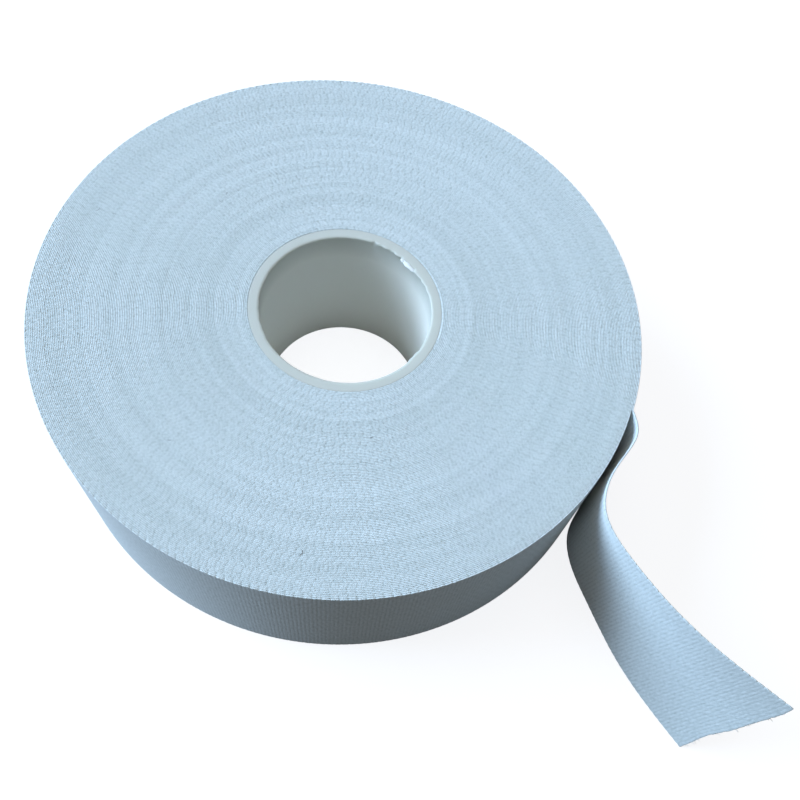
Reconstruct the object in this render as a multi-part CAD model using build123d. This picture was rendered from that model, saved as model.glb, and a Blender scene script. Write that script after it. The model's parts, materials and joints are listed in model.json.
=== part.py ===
"""Roll of woven cotton grip tape on a plastic core, lying flat with its free end peeled off.

Millimetres. The origin is on the roll's axis at the base, +Z up along the axis. The tape is one
strip: most of it is wound, its last turn closes the roll, and its free end stands off the roll.
"""

import os
from math import cos, radians, sin

from build123d import *

TAPE_WIDTH = 25.0
TAPE_THICKNESS = 0.24

BORE_RADIUS = 12.9
CORE_WALL = 1.55
CORE_EDGE_BREAK = 0.15
CORE_OUTER_RADIUS = BORE_RADIUS + CORE_WALL
ROLL_RADIUS = 45.7
WOUND_RADIUS = ROLL_RADIUS - TAPE_THICKNESS

# The last turn starts and ends at the peel line, with a slit between its two ends.
PEEL_ANGLE = -2.3
SLIT_ANGLE = 0.8

# Where the two long edges of the free end pass, seen from above, from the peel line to the cut.
# It stays close to the roll, bulging at its upper edge, then swings away and leans outwards.
LOWER_EDGE = [
    (46.1, -1.9),
    (45.9, -5.0),
    (45.2, -9.0),
    (44.6, -13.0),
    (46.0, -17.7),
    (50.2, -23.6),
    (57.3, -31.9),
    (69.8, -42.2),
]
UPPER_EDGE = [
    (46.1, -1.9),
    (47.0, -5.0),
    (46.2, -9.0),
    (44.8, -13.4),
    (44.9, -18.5),
    (50.0, -24.8),
    (60.0, -31.7),
    (75.9, -38.3),
]
# Points along each edge where the strip's thickness is set off to its two sides.
EDGE_STATIONS = 16

UPRIGHT = (Align.CENTER, Align.CENTER, Align.MIN)


def core_tube():
    """Plastic tube that the tape is wound on, as wide as the tape, the edges of its bore broken."""
    outer = CORE_OUTER_RADIUS
    tube = Cylinder(outer, TAPE_WIDTH, align=UPRIGHT) - Cylinder(BORE_RADIUS, TAPE_WIDTH, align=UPRIGHT)
    bore_rims = tube.edges().filter_by(GeomType.CIRCLE).filter_by(lambda rim: rim.radius < outer)
    return chamfer(bore_rims, CORE_EDGE_BREAK)


def wound_tape():
    """All the turns that are stuck down, from the core to the one under the last turn."""
    outer = Cylinder(WOUND_RADIUS, TAPE_WIDTH, align=UPRIGHT)
    return outer - Cylinder(CORE_OUTER_RADIUS, TAPE_WIDTH, align=UPRIGHT)


def last_turn():
    """The outermost turn, split along the peel line."""
    ring = Cylinder(ROLL_RADIUS, TAPE_WIDTH, align=UPRIGHT) - Cylinder(WOUND_RADIUS, TAPE_WIDTH, align=UPRIGHT)
    slit_width = ROLL_RADIUS * radians(SLIT_ANGLE)
    middle_radius = (WOUND_RADIUS + ROLL_RADIUS) / 2
    middle = middle_radius * cos(radians(PEEL_ANGLE)), middle_radius * sin(radians(PEEL_ANGLE))
    slit = Box(4 * TAPE_THICKNESS, slit_width, TAPE_WIDTH, align=UPRIGHT)
    return ring - Pos(*middle, 0) * Rot(0, 0, PEEL_ANGLE) * slit


def strip_section(edge_points, height):
    """The strip cut level at a height: a band one tape thickness wide along one of its edges."""
    edge = Spline(*[(x, y) for x, y in edge_points])
    sides = []
    for offset in (-TAPE_THICKNESS / 2, TAPE_THICKNESS / 2):
        points = []
        for station in range(EDGE_STATIONS):
            along = station / (EDGE_STATIONS - 1)
            outwards = (edge % along).rotate(Axis.Z, 90)
            points.append(edge @ along + outwards * offset)
        sides.append(Spline(*points))
    near, far = sides
    ends = [Line(near @ 0, far @ 0), Line(near @ 1, far @ 1)]
    return Pos(0, 0, height) * make_face([near, far, *ends])


def tail():
    """The free end of the tape: a ruled band between its lower and its upper edge."""
    return loft([strip_section(LOWER_EDGE, 0), strip_section(UPPER_EDGE, TAPE_WIDTH)], ruled=True)


os.makedirs("parts", exist_ok=True)
for node in (core_tube, wound_tape, last_turn, tail):
    export_step(node(), f"parts/{node.__name__}.step")
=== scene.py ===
"""Looks of the grip tape roll: one strip of woven cotton tape wound on a plastic core.

Metres. The strip is modelled as it is made: a spiral ribbon from the core to the peel line, a last
turn with its ribs and selvages, and a free end that bends off the roll.
"""

import json
from math import atan2, cos, pi, radians, sin

import bpy
import numpy as np
from mathutils import Matrix, Vector


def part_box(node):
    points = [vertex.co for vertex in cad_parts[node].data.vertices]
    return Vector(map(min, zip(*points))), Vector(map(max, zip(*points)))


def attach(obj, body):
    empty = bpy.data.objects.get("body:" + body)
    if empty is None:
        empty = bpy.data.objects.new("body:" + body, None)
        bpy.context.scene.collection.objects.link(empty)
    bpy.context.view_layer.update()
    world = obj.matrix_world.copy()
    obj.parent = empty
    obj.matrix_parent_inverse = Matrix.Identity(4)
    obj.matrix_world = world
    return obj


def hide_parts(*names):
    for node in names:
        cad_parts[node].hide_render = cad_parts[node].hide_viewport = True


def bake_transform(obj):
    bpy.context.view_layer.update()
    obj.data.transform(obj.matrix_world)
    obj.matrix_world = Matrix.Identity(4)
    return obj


MM = 0.001

# The tape.
TURNS = 129
CLOTH_SHARE = 0.99
RIB_PITCH = 0.585 * MM
RIB_HEIGHT = 0.0135 * MM
WARP_PITCH = 0.465 * MM
LOOP_PITCH = 2 * RIB_PITCH
LOOP_HEIGHT = 0.11 * MM
PICK_WANDER = 0.10 * MM
EDGE_ROUNDING = 0.35 * MM

# How unevenly it is wound.
EDGE_WANDER = 0.018 * MM
GROOVE_DEPTH = 0.004 * MM
CROWN_SWAY = 0.008 * MM
CROWN_FUZZ = 0.004 * MM
PACK_LOOPS = 0.020 * MM
RIM_LOOPS = LOOP_HEIGHT * 0.4
NESTED_TURNS = 3

# How finely the strip is divided.
PACK_STEP = LOOP_PITCH / 4
RIM_STEP = LOOP_PITCH / 8
RIB_SAMPLES = 6
ROWS_ACROSS = 54
HIDDEN_ROWS = 4
OUTER_ROWS = 22
SELVAGE_ROW = 0.1 * MM
PACK_PIECES = 6
RIM_TURNS = 3

# The inner face is painted paler, as painted light in the shaded crevice beside the roll. The free end is
# painted darker towards its cut, as painted shade against the extra light its leaning far part catches.
INNER_FACE_PAINTED_LIGHT = 0.8
FREE_END_PAINTED_SHADE = 1.1

# The free end, seen from above: where its two long edges pass. It comes off the last turn, so it
# starts 0.55 mm closer in than in the CAD part, which keeps clear of the roll.
LOWER_EDGE = [
    (45.55, -1.83),
    (45.9, -5.0),
    (45.2, -9.0),
    (44.6, -13.0),
    (46.0, -17.7),
    (50.2, -23.6),
    (57.3, -31.9),
    (69.8, -42.2),
]
UPPER_EDGE = [
    (45.55, -1.83),
    (47.0, -5.0),
    (46.2, -9.0),
    (44.8, -13.4),
    (44.9, -18.5),
    (50.0, -24.8),
    (60.0, -31.7),
    (75.9, -38.3),
]

# Over this length the upper edge gets ahead of the lower one, and the ribs lean with it.
SKEW_REACH = 20 * MM

# The free end's cut wavers over this last stretch, and short threads stick out of it.
CUT_REACH = 5 * MM
CUT_THREADS = 16
CUT_THREAD_LENGTHS = (0.25, 0.7)
CUT_THREAD_THICKNESS = 0.06 * MM
CUT_THREAD_ROOT = 0.25 * MM

# Dark fibres on the cloth, as place along, place across, length, heading in degrees and bend in degrees.
# On the roll they lie on the upper side: radius, angle from +X, and the rest.
ROLL_LINT = [
    (40.6, 175.5, 0.9, 60, 120),
    (38.1, 175.0, 0.5, 10, 40),
    (39.4, -80.0, 1.3, 70, 150),
    (33.0, -118.0, 0.5, 20, 60),
    (27.5, 151.0, 0.6, 95, 40),
    (42.8, -141.0, 0.5, 140, 70),
    (22.0, -62.0, 0.5, 35, 30),
]
TAIL_LINT = [
    (42.3, 20.2, 0.9, 55, 110),
    (48.7, 18.3, 1.0, 100, -120),
    (49.9, 24.6, 0.8, 75, 60),
    (50.2, 24.0, 0.6, 60, -50),
    (50.3, 23.1, 0.5, 80, 40),
    (50.5, 17.8, 0.5, 85, 40),
]
LINT_THICKNESS = 0.05 * MM

# The burrs on the core's inner edge: middle and half width in degrees, and how far they stand out.
# A random height holds for BURR_GRAIN points along the edge. Down the bore, to the depth given below, the
# plastic is painted paler, as painted light.
BURRS = [
    (60, 28, 0.75 * MM),
    (-150, 15, 0.28 * MM),
    (-21, 6, 0.35 * MM),
    (178, 8, 0.12 * MM),
    (-95, 12, 0.10 * MM),
]
BURR_GRAIN = 8
NOTCH_ANGLE = 89
NOTCH_HALF_WIDTH = 2.5
NOTCH_DEPTH = 0.25 * MM
# How far down the bore the plastic is painted paler, as painted light.
PAINTED_BORE_LIGHT_DEPTH = 5 * MM
FLAKE_ANGLES = (67, 52)

# The camera, in roll radii and degrees, with its lens in millimetres.
CAMERA_TARGET = (0.498, -0.345, 0.0)
CAMERA_DISTANCE = 3.24
CAMERA_ELEVATION = 66.8
CAMERA_ROLL = 17.7
CAMERA_LENS = 39.4
CAMERA_SHIFT = (-0.0516, 0.135)

# The lamps: azimuth and elevation in degrees, distance and size in metres, watts and colour. The room
# and the floor look paler than the light they give, and the floor gives a little more in the bore.
WINDOW = (180, 36, 0.9, (0.7, 0.6), 11.5, (0.745, 1.0, 1.31))
CEILING = (120, 82, 1.0, (0.6, 0.6), 1.9, (1.12, 1.0, 0.86))
ROOM_COLOUR = (0.94, 1.01, 1.08)
ROOM_LIGHT = 0.19
ROOM_SEEN = 0.75
FLOOR_REACH = 3.0
FLOOR_SEEN = 0.88
FLOOR_IN_BORE = 0.5

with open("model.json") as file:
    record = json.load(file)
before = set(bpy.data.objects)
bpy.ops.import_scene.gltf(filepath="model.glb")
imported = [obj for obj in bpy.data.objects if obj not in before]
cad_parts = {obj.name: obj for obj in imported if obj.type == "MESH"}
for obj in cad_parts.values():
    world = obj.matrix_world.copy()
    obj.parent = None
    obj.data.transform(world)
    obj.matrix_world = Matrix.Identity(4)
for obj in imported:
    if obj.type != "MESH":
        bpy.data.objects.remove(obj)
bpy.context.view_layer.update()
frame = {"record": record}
rng = np.random.default_rng(7)


def reach(node):
    """Radius and height of a round node."""
    low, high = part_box(node)
    return -low[0], high[2]


ROLL_RADIUS, TAPE_WIDTH = reach("last_turn")
CORE_RADIUS = reach("core_tube")[0]
BORE_RADIUS = frame["record"]["mounts"][0]["dims"]["r_mm"] * MM
PITCH = (ROLL_RADIUS - CORE_RADIUS) / (TURNS + 1)
CLOTH = PITCH * CLOTH_SHARE
PEEL_ANGLE = atan2(LOWER_EDGE[0][1], LOWER_EDGE[0][0])


# Meshes


def mesh_object(name, vertices, quads, material, attributes=(), polygons=(), flat=()):
    """An object from arrays of vertices and quads, with float attributes on its points.

    Its faces shade smoothly, except those whose numbers are in flat.
    """
    mesh = bpy.data.meshes.new(name)
    faces = [list(face) for face in polygons]
    corners = np.concatenate([np.asarray(quads, int).ravel(), *[np.array(face, int) for face in faces]])
    sizes = np.array([4] * len(quads) + [len(face) for face in faces])
    mesh.vertices.add(len(vertices))
    mesh.vertices.foreach_set("co", np.asarray(vertices, np.float32).ravel())
    mesh.loops.add(len(corners))
    mesh.loops.foreach_set("vertex_index", corners.astype(np.int32))
    mesh.polygons.add(len(sizes))
    mesh.polygons.foreach_set("loop_start", (np.cumsum(sizes) - sizes).astype(np.int32))
    mesh.update(calc_edges=True)
    smooth = np.ones(len(sizes), bool)
    smooth[np.asarray(flat, int)] = False
    mesh.polygons.foreach_set("use_smooth", smooth)
    for key, values in attributes:
        layer = mesh.attributes.new(key, "FLOAT", "POINT")
        layer.data.foreach_set("value", np.asarray(values, np.float32).ravel())
    mesh.materials.append(material)
    obj = bpy.data.objects.new(name, mesh)
    bpy.context.collection.objects.link(obj)
    return obj


def tube_quads(stations, around):
    """Quads that join rings of points into a tube, ring after ring."""
    station = np.arange(stations - 1)[:, None] * around
    here = np.arange(around)[None, :]
    following = (here + 1) % around
    ahead = station + around
    corners = (station + here, station + following, ahead + following, ahead + here)
    shape = (stations - 1, around)
    return np.stack([np.broadcast_to(corner, shape) for corner in corners], -1).reshape(-1, 4)


def tube(name, rings, material, attributes=(), flat_sides=()):
    """A closed tube through rings of points, an array of stations by points by xyz, with flat ends."""
    stations, around, _ = rings.shape
    last = (stations - 1) * around
    ends = [list(range(around))[::-1], [last + index for index in range(around)]]
    sides = [np.arange(stations - 1) * around + side for side in flat_sides]
    flat = np.concatenate([*sides, [last, last + 1]]).astype(int)
    quads = tube_quads(stations, around)
    return mesh_object(name, rings.reshape(-1, 3), quads, material, attributes, ends, flat)


def thread_rings(line, thickness):
    """Rings of points round a short thread, pointed at both ends."""
    tangent = np.gradient(line, axis=0)
    tangent /= np.linalg.norm(tangent, axis=1)[:, None]
    side = np.cross(tangent, (0.3, 0.2, 0.9))
    side /= np.linalg.norm(side, axis=1)[:, None]
    other = np.cross(tangent, side)
    share = np.linspace(0, 1, len(line))
    radius = thickness / 2 * np.sqrt(np.clip(4 * share * (1 - share), 0.05, 1))
    turn = np.linspace(0, 2 * pi, 6, endpoint=False)
    ring = np.cos(turn)[None, :, None] * side[:, None, :] + np.sin(turn)[None, :, None] * other[:, None, :]
    return line[:, None, :] + radius[:, None, None] * ring


def threads(name, lines, thickness, material):
    """Several short threads as one object."""
    points, quads, ends = [], [], []
    for line in lines:
        rings = thread_rings(line, thickness)
        stations, around, _ = rings.shape
        start = sum(len(part) for part in points)
        last = start + (stations - 1) * around
        points.append(rings.reshape(-1, 3))
        quads.append(tube_quads(stations, around) + start)
        ends.append([start + index for index in range(around)][::-1])
        ends.append([last + index for index in range(around)])
    return mesh_object(name, np.concatenate(points), np.concatenate(quads), material, (), ends)


# The strip


def spiral_length(turn):
    """Length of tape wound when the spiral has made this many turns."""
    start = CORE_RADIUS + PITCH / 2
    return 2 * pi * (start * turn + PITCH * turn * turn / 2)


def spiral_turn(length):
    """The turn that a length along the wound tape lies on."""
    start = CORE_RADIUS + PITCH / 2
    return (np.sqrt(start * start + PITCH * length / pi) - start) / PITCH


def spiral_radius(turn):
    """Radius of the middle of the cloth."""
    return CORE_RADIUS + PITCH * (turn + 0.5)


# The wound strip, with room to spare for the free end.
STRIP_LENGTH = spiral_length(TURNS) + 0.1


def drift(period):
    """A line of smooth random values from -1 to 1 along the whole strip, changing over a period."""
    values = rng.uniform(-1, 1, int(STRIP_LENGTH / period) + 3)

    def at(position):
        left = np.floor(position / period).astype(int)
        share = position / period - left
        ease = share * share * (3 - 2 * share)
        return values[left] * (1 - ease) + values[left + 1] * ease

    return at


LEVEL_ALONG = drift(45 * MM)
LEVEL_OF_TURNS = drift(0.80 * MM)
SHADE_ALONG = drift(41 * MM)
SHADE_OF_TURNS = drift(0.50 * MM)
PICK_SHIFT = drift(23 * MM)
LOOP_SIZE = drift(2.1 * LOOP_PITCH)
NEST_SHIFT = rng.uniform(0, 1, TURNS)
CROWN_RISE = drift(0.55 * MM)
CROWN_LEAN = drift(0.70 * MM)


def pick(position):
    """Place along the weave, whose picks aren't quite evenly spaced along the strip."""
    return position + PICK_WANDER * PICK_SHIFT(position)


def whole_loops(position):
    """The start of the selvage loop that a place lies on, from which a piece's own weave is counted."""
    return np.floor(position / LOOP_PITCH) * LOOP_PITCH


def nested(turn):
    """Place along the weave as the wound turns show it, whose loops nest in line over a few turns."""
    whole = np.arange(TURNS + 2)
    band = whole // NESTED_TURNS
    loops_in_turn = np.round(2 * pi * spiral_radius((band + 0.5) * NESTED_TURNS) / LOOP_PITCH)
    return np.interp(turn, whole, LOOP_PITCH * (np.cumsum(loops_in_turn) + NEST_SHIFT[band]))


def loops(position, shift=0.0):
    """Height of the selvage's loops, 0 between them and 1 at their tops, a little uneven."""
    phase = pi * (pick(position) / LOOP_PITCH + shift)
    return (0.85 + 0.15 * LOOP_SIZE(position)) * np.abs(np.sin(phase)) ** 0.7


def wound_piece(name, start, end, step, loop_height, material):
    """A stretch of the wound strip: a ribbon on edge whose selvages show as crowns with grooves between."""
    count = int((end - start) / step) + 1
    along = np.linspace(start, end, count)
    turn = spiral_turn(along)
    angle = PEEL_ANGLE + (TURNS - turn) * 2 * pi
    radius = spiral_radius(turn)
    level = EDGE_WANDER * (0.35 * LEVEL_ALONG(along) + 0.65 * LEVEL_OF_TURNS(radius))
    weave = nested(turn)
    fall = loop_height * (1 - loops(weave)) + CROWN_SWAY * 0.5 * (1 - CROWN_RISE(along))
    fuzz = CROWN_FUZZ * rng.normal(0, 1, (3, count))
    crown = TAPE_WIDTH - EDGE_WANDER + level - fall + fuzz[0]
    foot = EDGE_WANDER + level + fall + fuzz[1]
    shift = CROWN_SWAY * CROWN_LEAN(along) + fuzz[2]
    half = CLOTH / 2
    # The first turn lies on the core all the way round.
    inner = np.where(turn < 1, CORE_RADIUS, radius - half)
    profile = [
        (inner, foot + GROOVE_DEPTH),
        (radius + shift, np.maximum(foot, 0)),
        (radius + half, foot + GROOVE_DEPTH),
        (radius + half, crown - GROOVE_DEPTH),
        (radius + shift, np.minimum(crown, TAPE_WIDTH)),
        (inner, crown - GROOVE_DEPTH),
    ]
    rings = np.stack([np.stack([r * np.cos(angle), r * np.sin(angle), z], -1) for r, z in profile], 1)
    points = len(profile)
    tint = 0.5 + 0.14 * SHADE_ALONG(along) + 0.24 * SHADE_OF_TURNS(radius)
    attributes = [
        ("along", np.repeat(pick(weave) - whole_loops(weave[0]), points)),
        ("across", rings[..., 2]),
        ("tint", np.repeat(tint, points)),
        ("selvage", np.ones(rings.shape[:2])),
    ]
    return tube(name, rings, material, attributes, flat_sides=(2, 5))


def natural_spline(points):
    """The smooth curve through points, as a function of the share of its length, and its length."""
    points = np.asarray(points, float) * MM
    spans = np.linalg.norm(np.diff(points, axis=0), axis=1)
    knots = np.concatenate([[0], np.cumsum(spans)])
    size = len(points)
    system = np.eye(size)
    right = np.zeros((size, 2))
    for index in range(1, size - 1):
        before, after = spans[index - 1], spans[index]
        system[index, index - 1:index + 2] = before, 2 * (before + after), after
        slopes = (points[index + 1] - points[index]) / after - (points[index] - points[index - 1]) / before
        right[index] = 6 * slopes
    bend = np.linalg.solve(system, right)

    def at(where):
        span = np.clip(np.searchsorted(knots, where, side="right") - 1, 0, size - 2)
        width = spans[span][:, None]
        rise = (where - knots[span])[:, None] / width
        fall = 1 - rise
        chord = fall * points[span] + rise * points[span + 1]
        bow = (fall ** 3 - fall) * bend[span] + (rise ** 3 - rise) * bend[span + 1]
        return chord + width ** 2 / 6 * bow

    fine = np.linspace(0, knots[-1], 2000)
    lengths = np.concatenate([[0], np.cumsum(np.linalg.norm(np.diff(at(fine), axis=0), axis=1))])
    return lambda share: at(np.interp(share * lengths[-1], lengths, fine)), lengths[-1]


def shares_across(rows):
    """Places across the strip, as shares of its width, with one more close to each selvage."""
    middle = np.linspace(SELVAGE_ROW, TAPE_WIDTH - SELVAGE_ROW, rows)
    return np.concatenate([[0], middle, [TAPE_WIDTH]]) / TAPE_WIDTH


def ribbed_strip(name, lower, upper, along, material, rows, hidden_rows, painted_shade=0.0, end_cut=None):
    """The strip as cloth with two ribbed faces and looped selvages, between two lines of points.

    Between its selvages, the face that looks at the roll's middle has hidden_rows points across, and
    the other one has rows. Its painted shade argument darkens it along its length, and end_cut shapes its
    last end.
    """
    across = upper - lower
    tangent = np.gradient((lower + upper) / 2, axis=0)
    tangent /= np.linalg.norm(tangent, axis=1)[:, None]
    facing = np.cross(tangent, across)
    facing /= np.linalg.norm(facing, axis=1)[:, None]
    trim = LOOP_HEIGHT / TAPE_WIDTH
    low = trim * (1 - loops(along, 0.5))
    high = 1 - trim * (1 - loops(along))
    place = pick(along)
    rib = np.abs(np.sin(pi * place / RIB_PITCH))
    faces, widths = [], []
    for side, share in ((1, shares_across(hidden_rows)[::-1]), (-1, shares_across(rows))):
        spots = low[:, None] + (high - low)[:, None] * share[None, :]
        middle = lower[:, None, :] + across[:, None, :] * spots[..., None]
        if end_cut is not None:
            near_end = np.clip((along - along[-1] + CUT_REACH) / CUT_REACH, 0, 1) ** 2
            middle = middle + (near_end[:, None] * end_cut(share)[None, :])[..., None] * tangent[:, None, :]
        inside = np.clip(np.minimum(share, 1 - share) * TAPE_WIDTH / EDGE_ROUNDING, 0, 1)
        half = (CLOTH / 2 - RIB_HEIGHT) * (0.85 + 0.15 * inside)[None, :] + RIB_HEIGHT * rib[:, None]
        faces.append(middle + side * facing[:, None, :] * half[..., None])
        widths.append(share * TAPE_WIDTH)
    rings = np.concatenate(faces, 1)
    width = np.concatenate(widths)
    points = len(width)
    at_edge = (np.minimum(width, TAPE_WIDTH - width) < SELVAGE_ROW / 2).astype(float)
    # The face that looks at the roll's middle, painted paler in the tint as painted light in the crevice.
    painted_light_face = (np.arange(points) < hidden_rows + 2).astype(float)
    attributes = [
        ("along", np.repeat(place - whole_loops(spiral_length(TURNS - 1)), points)),
        ("across", np.tile(width, len(along))),
        # Tint: a random tone, painted light on the face that looks at the roll's middle, and painted shade
        # growing along the free end.
        ("tint", 0.5 + (0.25 * SHADE_ALONG(along) - painted_shade)[:, None] + INNER_FACE_PAINTED_LIGHT * painted_light_face[None, :]),
        ("selvage", np.broadcast_to(at_edge, rings.shape[:2])),
    ]
    return tube(name, rings, material, attributes)


def last_turn(material):
    """The outermost turn, up to the peel line."""
    begin, end = spiral_length(TURNS - 1), spiral_length(TURNS)
    stations = int((end - begin) / RIB_PITCH * RIB_SAMPLES)
    along = np.linspace(begin, end, stations)
    turn = spiral_turn(along)
    angle = PEEL_ANGLE + (TURNS - turn) * 2 * pi
    radius = spiral_radius(turn)
    line = np.stack([radius * np.cos(angle), radius * np.sin(angle), np.zeros(stations)], -1)
    top = line + Vector((0, 0, TAPE_WIDTH - EDGE_WANDER))
    return ribbed_strip("outer_turn", line, top, along, material, OUTER_ROWS, HIDDEN_ROWS)


def ragged_cut(share):
    """How far the cut at the free end runs on or falls short, across the strip."""
    wave = 0.22 * np.sin(6.5 * share + 3.1) + 0.10 * np.sin(15.0 * share + 0.6)
    return (wave + 0.05 * np.sin(97 * share) + 0.04 * np.sin(151 * share)) * MM


LOWER_AT, FREE_LENGTH = natural_spline(LOWER_EDGE)
UPPER_AT, UPPER_LENGTH = natural_spline(UPPER_EDGE)


def free_edges(walked):
    """The lower and upper edge of the free end, this far from the peel line."""
    skewed = np.clip(walked / SKEW_REACH, 0, 1)
    lead = (UPPER_LENGTH - FREE_LENGTH) * skewed * skewed * (3 - 2 * skewed)
    lower = LOWER_AT(walked / FREE_LENGTH)
    upper = UPPER_AT((walked + lead) / UPPER_LENGTH)
    leaning = np.linalg.norm(upper - lower, axis=1)
    height = np.sqrt(TAPE_WIDTH ** 2 - leaning ** 2)
    return np.column_stack([lower, np.zeros(len(walked))]), np.column_stack([upper, height])


def free_end(material):
    """The stretch that has come off the roll, standing on its lower edge and bending away."""
    walked = np.linspace(0, FREE_LENGTH, int(FREE_LENGTH / RIB_PITCH * RIB_SAMPLES))
    lower, upper = free_edges(walked)
    along = spiral_length(TURNS) + walked
    # Painted shade that grows towards the cut, against the extra light the leaning far part catches.
    painted_end_shade = FREE_END_PAINTED_SHADE * walked / FREE_LENGTH
    rows = ROWS_ACROSS
    return ribbed_strip("free_end", lower, upper, along, material, rows, rows, painted_end_shade, ragged_cut)


# Fibres


def bent_line(length, heading, bend, stations=9):
    """A short arc in the plane, from its middle: places along and across."""
    share = np.linspace(-0.5, 0.5, stations)
    course = np.radians(heading + bend * share)
    step = length * MM / (stations - 1)
    line = np.column_stack([np.cos(course), np.sin(course)]) * step
    line = np.cumsum(line, axis=0)
    return line - line.mean(0)


def on_roll(radius, angle, length, heading, bend):
    """A fibre lying on the upper side of the roll."""
    flat = bent_line(length, heading, bend)
    middle = Vector((radius * cos(radians(angle)), radius * sin(radians(angle)))) * MM
    height = TAPE_WIDTH + LINT_THICKNESS * 0.3
    return np.column_stack([flat + middle, np.full(len(flat), height)])


def on_free_end(walked, width, length, heading, bend):
    """A fibre on the outer face of the free end."""
    flat = bent_line(length, heading, bend)
    places = np.clip(walked * MM + flat[:, 0], 0, FREE_LENGTH)
    shares = np.clip((width * MM + flat[:, 1]) / TAPE_WIDTH, 0, 1)
    lower, upper = free_edges(places)
    ahead_low, ahead_high = free_edges(np.clip(places, 0, FREE_LENGTH - 0.1 * MM) + 0.1 * MM)
    tangent = ahead_low + ahead_high - lower - upper
    outward = np.cross(upper - lower, tangent + 1e-9)
    outward /= np.linalg.norm(outward, axis=1)[:, None]
    return lower + (upper - lower) * shares[:, None] + outward * (CLOTH / 2 + LINT_THICKNESS * 0.3)


def loose_threads():
    """Short ends of warp that stick out of the cut."""
    lines = []
    lower, upper = free_edges(np.array([FREE_LENGTH - 0.5 * MM, FREE_LENGTH]))
    for share in rng.uniform(0.03, 0.97, CUT_THREADS):
        ends = lower + (upper - lower) * share
        ahead = (ends[1] - ends[0]) / np.linalg.norm(ends[1] - ends[0])
        length = rng.uniform(*CUT_THREAD_LENGTHS) * MM
        sway = rng.uniform(-0.5, 0.5)
        start = ends[1] + ahead * (ragged_cut(share) - CUT_THREAD_ROOT)
        step = np.linspace(0, 1, 6)[:, None]
        rise = np.array((0.0, 0.0, 1.0)) * sway * length * step ** 2
        lines.append(start + ahead * step * (length + CUT_THREAD_ROOT) + rise)
    return lines


# The core


def core(material):
    """The plastic tube, turned from its section, with burrs left on its inner edge."""
    around = 900
    angle = np.linspace(0, 2 * pi, around, endpoint=False)
    burr = burr_height(np.degrees(angle))
    wall = CORE_RADIUS - BORE_RADIUS
    none = np.zeros(around)
    section = [
        (BORE_RADIUS, 0.25 * MM, none),
        (BORE_RADIUS + 0.2 * MM, 0.0, none),
        (CORE_RADIUS - 0.25 * MM, 0.0, none),
        (CORE_RADIUS, 0.2 * MM, none),
        (CORE_RADIUS, TAPE_WIDTH - 0.02 * MM, none),
        (CORE_RADIUS - 0.02 * MM, TAPE_WIDTH, none),
        (CORE_RADIUS - 0.05 * MM, TAPE_WIDTH, none),
        (CORE_RADIUS - 0.30 * MM, TAPE_WIDTH, none),
        (CORE_RADIUS - 0.75 * wall, TAPE_WIDTH - 0.02 * MM, 0.2 * burr),
        (BORE_RADIUS + 0.10 * MM, TAPE_WIDTH - 0.05 * MM, burr),
        (BORE_RADIUS, TAPE_WIDTH - 0.16 * MM, burr),
        (BORE_RADIUS, TAPE_WIDTH - 0.45 * MM, 0.3 * burr),
        (BORE_RADIUS, TAPE_WIDTH - 0.90 * MM, none),
        (BORE_RADIUS, TAPE_WIDTH * 0.75, none),
        (BORE_RADIUS, TAPE_WIDTH * 0.25, none),
    ]
    columns = []
    for radius, height, inward in section:
        out = radius - inward
        columns.append(np.stack([out * np.cos(angle), out * np.sin(angle), np.full(around, height)], -1))
    rings = np.stack(columns, 1)
    count = len(section)
    here = np.arange(around)[:, None] * count
    following = ((np.arange(around) + 1) % around)[:, None] * count
    spot = np.arange(count)[None, :]
    beside = (spot + 1) % count
    quads = np.stack([here + spot, following + spot, following + beside, here + beside], -1).reshape(-1, 4)
    return mesh_object("core", rings.reshape(-1, 3), quads, material)


def burr_height(angle):
    """How far the core's inner edge stands into the bore at each angle, and a notch beside the burrs."""
    around = len(angle)
    rough = rng.uniform(0, 1, around // BURR_GRAIN)
    rough = np.interp(np.arange(around) / BURR_GRAIN, np.arange(len(rough) + 1), np.append(rough, rough[0]))
    fine = rng.uniform(0.55, 1, around)
    height = 0.02 * MM * rough
    for middle, half_width, size in BURRS:
        away = np.abs((angle - middle + 180) % 360 - 180) / half_width
        height = height + size * np.clip(1 - away, 0, 1) ** 0.5 * rough * fine
    notch = np.abs((angle - NOTCH_ANGLE + 180) % 360 - 180)
    return height - NOTCH_DEPTH * np.clip(1 - notch / NOTCH_HALF_WIDTH, 0, 1)


def core_flake(material):
    """A sliver of plastic curled off the inner edge."""
    first, last = FLAKE_ANGLES
    share = np.linspace(0, 1, 26)
    angle = np.radians(first + (last - first) * share)
    swell = np.sin(pi * share) ** 0.6
    radius = BORE_RADIUS - (0.15 + 0.25 * swell) * MM
    height = TAPE_WIDTH - (0.30 - 0.22 * swell) * MM
    turn = np.linspace(0, 2 * pi, 10, endpoint=False)
    wide = (0.05 + 0.28 * swell + 0.05 * np.sin(17 * share)) * MM
    thick = (0.03 + 0.07 * swell) * MM
    out = radius[:, None] + wide[:, None] * np.cos(turn)[None, :]
    up = height[:, None] + thick[:, None] * np.sin(turn)[None, :] + 0.35 * (out - radius[:, None])
    rings = np.stack([out * np.cos(angle)[:, None], out * np.sin(angle)[:, None], up], -1)
    return tube("core_flake", rings, material)


# Materials


def nodes_of(name):
    material = bpy.data.materials.new(name)
    material.use_nodes = True
    tree = material.node_tree
    return material, tree, tree.nodes["Principled BSDF"]


def math_node(tree, operation, first, second=None):
    """A math node fed by sockets or numbers; returns its output."""
    node = tree.nodes.new("ShaderNodeMath")
    node.operation = operation
    for slot, value in enumerate((first, second)):
        if value is None:
            continue
        if isinstance(value, (int, float)):
            node.inputs[slot].default_value = value
        else:
            tree.links.new(value, node.inputs[slot])
    return node.outputs[0]


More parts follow.
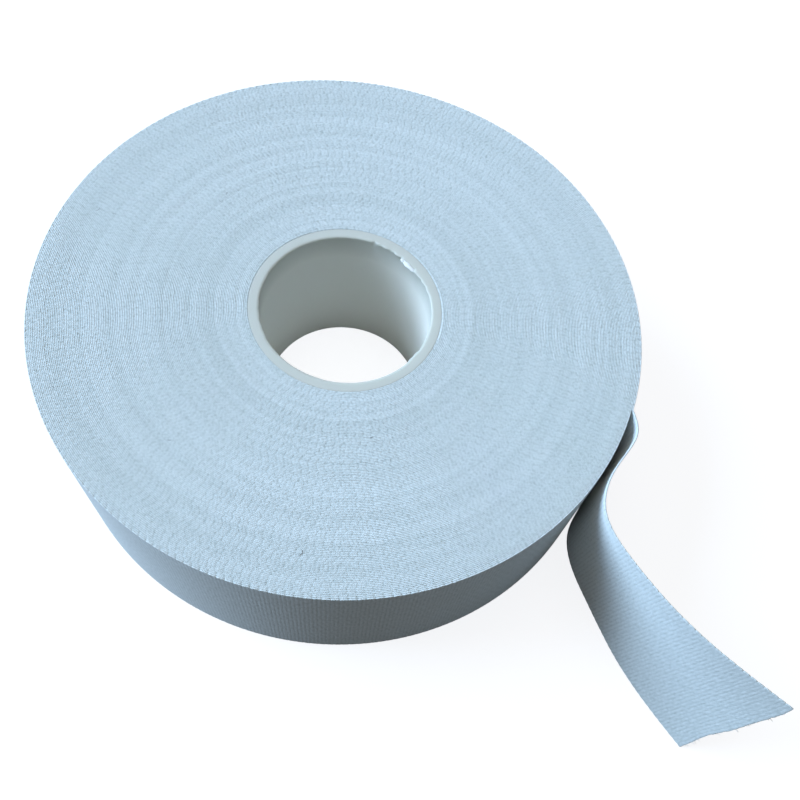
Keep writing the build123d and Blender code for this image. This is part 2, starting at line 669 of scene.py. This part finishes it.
def total_of(tree, first, *others):
    """The sum of several sockets."""
    total = first
    for part in others:
        total = math_node(tree, "ADD", total, part)
    return total


def scaled(tree, value, factor):
    return math_node(tree, "MULTIPLY", value, factor)


def centred(tree, value, factor):
    """A value from 0 to 1, moved to lie about 0 and scaled."""
    return scaled(tree, math_node(tree, "SUBTRACT", value, 0.5), factor)


def attribute(tree, name):
    node = tree.nodes.new("ShaderNodeAttribute")
    node.attribute_name = name
    return node.outputs["Fac"]


def wave(tree, value, pitch):
    """A sine of a length, that crosses zero at every whole pitch."""
    return math_node(tree, "SINE", scaled(tree, value, pi / pitch))


def ridges(tree, value, pitch):
    """Rounded ridges one pitch apart with sharp valleys between them."""
    return math_node(tree, "ABSOLUTE", wave(tree, value, pitch))


def noise(tree, scale, detail=2.0, vector=None):
    """Noise in object space or along a vector, the scale in cells per unit."""
    node = tree.nodes.new("ShaderNodeTexNoise")
    node.inputs["Scale"].default_value = scale
    node.inputs["Detail"].default_value = detail
    if vector is None:
        vector = tree.nodes.new("ShaderNodeTexCoord").outputs["Object"]
    tree.links.new(vector, node.inputs["Vector"])
    return node.outputs["Fac"]


def ramp(tree, value, stops):
    node = tree.nodes.new("ShaderNodeValToRGB")
    tree.links.new(value, node.inputs["Fac"])
    elements = node.color_ramp.elements
    while len(elements) < len(stops):
        elements.new(0.5)
    for element, (position, colour) in zip(elements, stops):
        element.position = position
        element.color = (*colour, 1)
    return node.outputs["Color"]


def bump(tree, height, distance, normal=None):
    """Relief from a height of 0 to 1 that stands for this distance."""
    node = tree.nodes.new("ShaderNodeBump")
    node.inputs["Distance"].default_value = distance
    tree.links.new(height, node.inputs["Height"])
    if normal is not None:
        tree.links.new(normal, node.inputs["Normal"])
    return node.outputs["Normal"]


def cotton(name):
    """White cotton: warp and weft crossings, selvage loops, loose fibre, a faint uneven colour and painted
    shade in the valleys.
    """
    material, tree, surface = nodes_of(name)
    along, across = attribute(tree, "along"), attribute(tree, "across")
    selvage = attribute(tree, "selvage")
    face = math_node(tree, "SUBTRACT", 1.0, selvage)

    # The face of the cloth: a plain weave, flecks of fibre along the weft and a slanting shadow.
    crossing = math_node(tree, "MULTIPLY", wave(tree, along, RIB_PITCH), wave(tree, across, WARP_PITCH))
    lengthwise = tree.nodes.new("ShaderNodeCombineXYZ")
    tree.links.new(scaled(tree, along, 1 / (0.32 * MM)), lengthwise.inputs["X"])
    tree.links.new(scaled(tree, across, 1 / (1.1 * MM)), lengthwise.inputs["Y"])
    flecks = noise(tree, 1.0, 2, lengthwise.outputs["Vector"])
    slant = math_node(tree, "SUBTRACT", along, scaled(tree, across, 0.47))
    twill = scaled(tree, wave(tree, slant, LOOP_PITCH / 2), 0.5)
    patchy = noise(tree, 260, 2)
    threading = total_of(
        tree,
        scaled(tree, crossing, 0.10),
        centred(tree, flecks, 2.0),
        math_node(tree, "MULTIPLY", twill, scaled(tree, patchy, 0.35)),
    )
    # The ribs are in the mesh, so here they only add painted shade in their valleys.
    weave = total_of(tree, threading, centred(tree, ridges(tree, along, RIB_PITCH), 0.55))

    # The side of the roll: one loop for each pick, and a deeper valley between pairs of picks.
    valleys = total_of(
        tree,
        scaled(tree, math_node(tree, "POWER", ridges(tree, along, RIB_PITCH), 0.5), 0.5),
        scaled(tree, math_node(tree, "POWER", ridges(tree, along, LOOP_PITCH), 0.5), 0.5),
    )

    grain = noise(tree, 2900, 2)
    # Fibres lie over the loops as a light net.
    gaps = math_node(tree, "ABSOLUTE", centred(tree, noise(tree, 1600, 1), 2.0))
    net = math_node(tree, "MULTIPLY", math_node(tree, "SUBTRACT", 0.2, gaps), selvage)
    woven = bump(tree, math_node(tree, "MULTIPLY", threading, face), 0.012 * MM)
    looped = bump(tree, math_node(tree, "MULTIPLY", valleys, selvage), 0.030 * MM, woven)
    tree.links.new(bump(tree, grain, 0.012 * MM, looped), surface.inputs["Normal"])

    total = total_of(
        tree,
        scaled(tree, attribute(tree, "tint"), 0.45),
        centred(tree, noise(tree, 700, 3), 0.15),
        centred(tree, grain, 0.50),
        scaled(tree, net, 0.80),
        # Painted shade: darker in the valleys between the selvage loops.
        scaled(tree, math_node(tree, "MULTIPLY", valleys, selvage), 0.45),
        # The weave's pattern and flecks, and painted shade in the rib valleys.
        scaled(tree, math_node(tree, "MULTIPLY", weave, face), 0.60),
        scaled(tree, face, 0.35),
    )
    colour = ramp(tree, total, [(0.0, (0.47, 0.54, 0.54)), (1.0, (0.73, 0.80, 0.82))])
    tree.links.new(colour, surface.inputs["Base Color"])
    surface.inputs["Roughness"].default_value = 0.95
    surface.inputs["Diffuse Roughness"].default_value = 0.5
    surface.inputs["Specular IOR Level"].default_value = 0.15
    surface.inputs["Sheen Weight"].default_value = 0.20
    surface.inputs["Sheen Roughness"].default_value = 0.5
    return material


def lint_dust():
    """Dark fibres that have settled on the tape."""
    material, tree, surface = nodes_of("lint")
    colour = ramp(tree, noise(tree, 2500, 2), [(0.3, (0.05, 0.06, 0.07)), (0.7, (0.16, 0.17, 0.18))])
    tree.links.new(colour, surface.inputs["Base Color"])
    surface.inputs["Roughness"].default_value = 0.9
    return material


def core_plastic(name, cut, painted_bore_light_and_skin_bump, clearness):
    """Natural, slightly translucent plastic: darker on its top face, and painted paler down the bore, as
    painted light.
    """
    material, tree, surface = nodes_of(name)
    place = tree.nodes.new("ShaderNodeSeparateXYZ")
    tree.links.new(tree.nodes.new("ShaderNodeTexCoord").outputs["Object"], place.inputs[0])
    # Painted light: the colour turns paler with depth down the bore.
    depth = scaled(tree, math_node(tree, "SUBTRACT", TAPE_WIDTH, place.outputs["Z"]), 1 / PAINTED_BORE_LIGHT_DEPTH)
    mottle = centred(tree, noise(tree, 220, 3), 0.15)
    colour = ramp(tree, math_node(tree, "ADD", depth, mottle), [(0.03, cut), (0.9, painted_bore_light_and_skin_bump)])
    tree.links.new(colour, surface.inputs["Base Color"])
    painted_bore_light_and_skin_bump = bump(tree, noise(tree, 1500, 2), 0.012 * MM)
    tree.links.new(bump(tree, noise(tree, 130, 2), 0.05 * MM, painted_bore_light_and_skin_bump), surface.inputs["Normal"])
    surface.inputs["Roughness"].default_value = 0.5
    surface.inputs["Specular IOR Level"].default_value = 0.35
    surface.inputs["Subsurface Weight"].default_value = clearness
    surface.inputs["Subsurface Radius"].default_value = (0.9, 1.0, 0.9)
    surface.inputs["Subsurface Scale"].default_value = 1.2 * MM
    return material


def floor_paint():
    """Pale to look at, with soft shadows, but it throws little light back up, except into the bore."""
    material, tree, surface = nodes_of("floor")
    seen = tree.nodes.new("ShaderNodeLightPath").outputs["Is Camera Ray"]
    place = tree.nodes.new("ShaderNodeTexCoord").outputs["Object"]
    distance = tree.nodes.new("ShaderNodeVectorMath")
    distance.operation = "LENGTH"
    tree.links.new(place, distance.inputs[0])
    in_bore = math_node(tree, "LESS_THAN", distance.outputs["Value"], BORE_RADIUS)
    share = math_node(tree, "MAXIMUM", seen, scaled(tree, in_bore, FLOOR_IN_BORE))
    stops = [(0.0, (0.15, 0.12, 0.10)), (0.9, (0.85, 0.83, 0.80)), (1.0, (0.25, 0.25, 0.25))]
    colour = ramp(tree, share, stops)
    tree.links.new(colour, surface.inputs["Base Color"])
    surface.inputs["Roughness"].default_value = 0.9
    surface.inputs["Specular IOR Level"].default_value = 0.1
    surface.inputs["Emission Color"].default_value = (0.97, 0.98, 1.0, 1)
    tree.links.new(scaled(tree, seen, FLOOR_SEEN), surface.inputs["Emission Strength"])
    return material


# The stage


def floor():
    side = FLOOR_REACH
    corners = [(-side, -side, 0), (side, -side, 0), (side, side, 0), (-side, side, 0)]
    obj = mesh_object("floor", corners, [(0, 1, 2, 3)], floor_paint())


def area_light(name, azimuth, elevation, distance, size, watts, colour):
    """A soft rectangular light that looks at the roll, its azimuth counter-clockwise from +X."""
    data = bpy.data.lights.new(name, "AREA")
    data.shape = "RECTANGLE"
    data.size, data.size_y = size
    data.energy = watts
    data.color = colour
    lamp = bpy.data.objects.new(name, data)
    bpy.context.collection.objects.link(lamp)
    flat = cos(radians(elevation))
    towards = Vector((flat * cos(radians(azimuth)), flat * sin(radians(azimuth)), sin(radians(elevation))))
    lamp.location = towards * distance
    lamp.rotation_euler = towards.to_track_quat("Z", "Y").to_euler()


def lights():
    area_light("window", *WINDOW)
    area_light("ceiling", *CEILING)
    world = bpy.data.worlds.new("room")
    bpy.context.scene.world = world
    world.use_nodes = True
    tree = world.node_tree
    background = tree.nodes["Background"]
    background.inputs["Color"].default_value = (*ROOM_COLOUR, 1)
    # The room lights the roll faintly, and looks pale behind it.
    seen = tree.nodes.new("ShaderNodeLightPath").outputs["Is Camera Ray"]
    strength = math_node(tree, "ADD", scaled(tree, seen, ROOM_SEEN), ROOM_LIGHT)
    tree.links.new(strength, background.inputs["Strength"])


def camera():
    """The photographer's view: high on the near side, turned about the line of sight."""
    data = bpy.data.cameras.new("camera")
    data.lens = CAMERA_LENS
    data.sensor_width = 36
    data.shift_x, data.shift_y = CAMERA_SHIFT
    data.clip_start = 1 * MM
    target = Vector(CAMERA_TARGET) * ROLL_RADIUS
    elevation, roll = radians(CAMERA_ELEVATION), radians(CAMERA_ROLL)
    back = Vector((0, -cos(elevation), sin(elevation)))
    level, up = Vector((1, 0, 0)), Vector((0, sin(elevation), cos(elevation)))
    right = cos(roll) * level + sin(roll) * up
    above = -sin(roll) * level + cos(roll) * up
    view = bpy.data.objects.new("camera", data)
    bpy.context.collection.objects.link(view)
    view.matrix_world = Matrix.Translation(target + back * CAMERA_DISTANCE * ROLL_RADIUS) \
        @ Matrix((right, above, back)).transposed().to_4x4()
    bpy.context.scene.camera = view


def join_body(piece, body):
    """A piece moves with a body."""
    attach(piece, body)


def build_strip():
    cloth = cotton("tape_cotton")
    wound_end = spiral_length(TURNS - RIM_TURNS)
    for index in range(PACK_PIECES):
        start, end = (wound_end * share / PACK_PIECES for share in (index, index + 1))
        piece = wound_piece(f"wound_turns_{index + 1}", start, end, PACK_STEP, PACK_LOOPS, cloth)
        join_body(piece, "roll")
        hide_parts("wound_tape")
    rim_end = spiral_length(TURNS - 1)
    rim = wound_piece("rim_turns", wound_end, rim_end, RIM_STEP, RIM_LOOPS, cloth)
    join_body(rim, "roll")
    outer = last_turn(cloth)
    join_body(outer, "roll")
    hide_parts("last_turn")

    end = free_end(cloth)
    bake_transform(end)
    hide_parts("tail")
    cut_ends = threads("cut_threads", loose_threads(), CUT_THREAD_THICKNESS, cloth)
    join_body(cut_ends, "tail")


def build_lint():
    dust = lint_dust()
    on_top = threads("lint_on_roll", [on_roll(*row) for row in ROLL_LINT], LINT_THICKNESS, dust)
    join_body(on_top, "roll")
    on_end = threads("lint_on_free_end", [on_free_end(*row) for row in TAIL_LINT], LINT_THICKNESS, dust)
    join_body(on_end, "tail")


def build_core():
    # The second colour is painted paler down the bore, as painted light.
    tube_piece = core(core_plastic("core_plastic", (0.57, 0.59, 0.54), (0.82, 0.82, 0.76), 0.35))
    flake = core_flake(core_plastic("scraped_plastic", (0.84, 0.88, 0.88), (0.88, 0.92, 0.92), 0.2))
    for piece in (tube_piece, flake):
        join_body(piece, "roll")
    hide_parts("core_tube")


build_strip()
build_lint()
build_core()
floor()
lights()
camera()
bpy.context.scene.view_settings.view_transform = "Standard"
